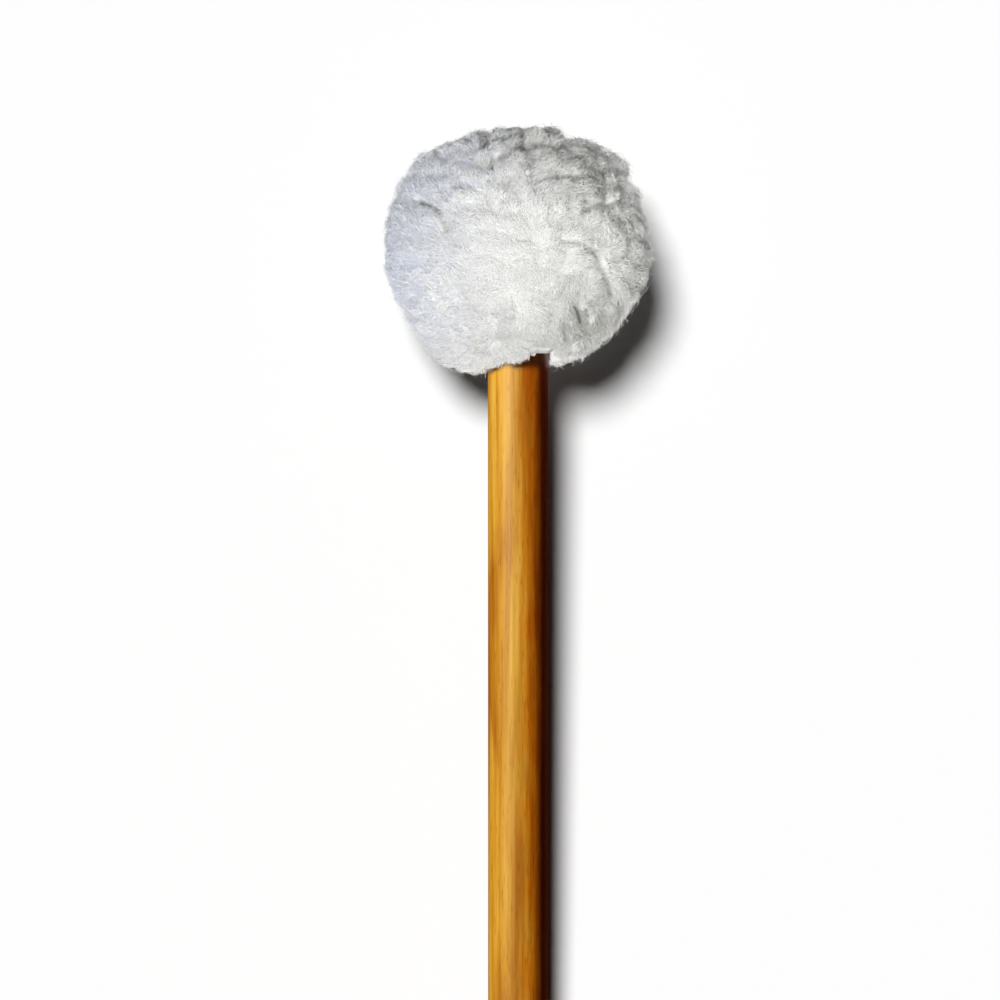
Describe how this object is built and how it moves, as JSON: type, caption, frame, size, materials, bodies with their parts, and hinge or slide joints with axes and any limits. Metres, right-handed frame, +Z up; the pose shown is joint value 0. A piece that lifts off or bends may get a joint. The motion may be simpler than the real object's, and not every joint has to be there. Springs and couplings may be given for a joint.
{
  "type": "timpani mallet",
  "caption": "Timpani mallet with a round lacquered wooden shaft and a soft ball head of white curly fleece, for striking a drum.",
  "frame": {"origin": "the centre of the bottom of the box around the mallet as it lies, so its head and its butt rest on Z = 0", "axes": "+X along the mallet from the butt to the head, +Z up; the shaft's axis rises 3.675 degrees from +X, because the head is thicker than the butt"},
  "size_m": [0.3676, 0.0562, 0.0562],
  "materials": {
    "lacquered_wood": "clear gloss lacquer",
    "white_fleece": "curly pile",
    "waxed_thread": "waxed",
    "collar_leather": "matte",
    "white_felt": "felted",
    "core_maple": "bare turned wood",
    "zinc_steel": "zinc plated"
  },
  "bodies": {
    "root": {"shaft": "lacquered_wood", "fleece_cover": "white_fleece", "draw_thread": "waxed_thread", "leather_collar": "collar_leather", "base_felt": "white_felt", "core": "core_maple", "felt_liner": "white_felt", "crown_felt": "white_felt", "screw_washer": "zinc_steel", "head_screw": "zinc_steel"}
  },
  "joints": []
}
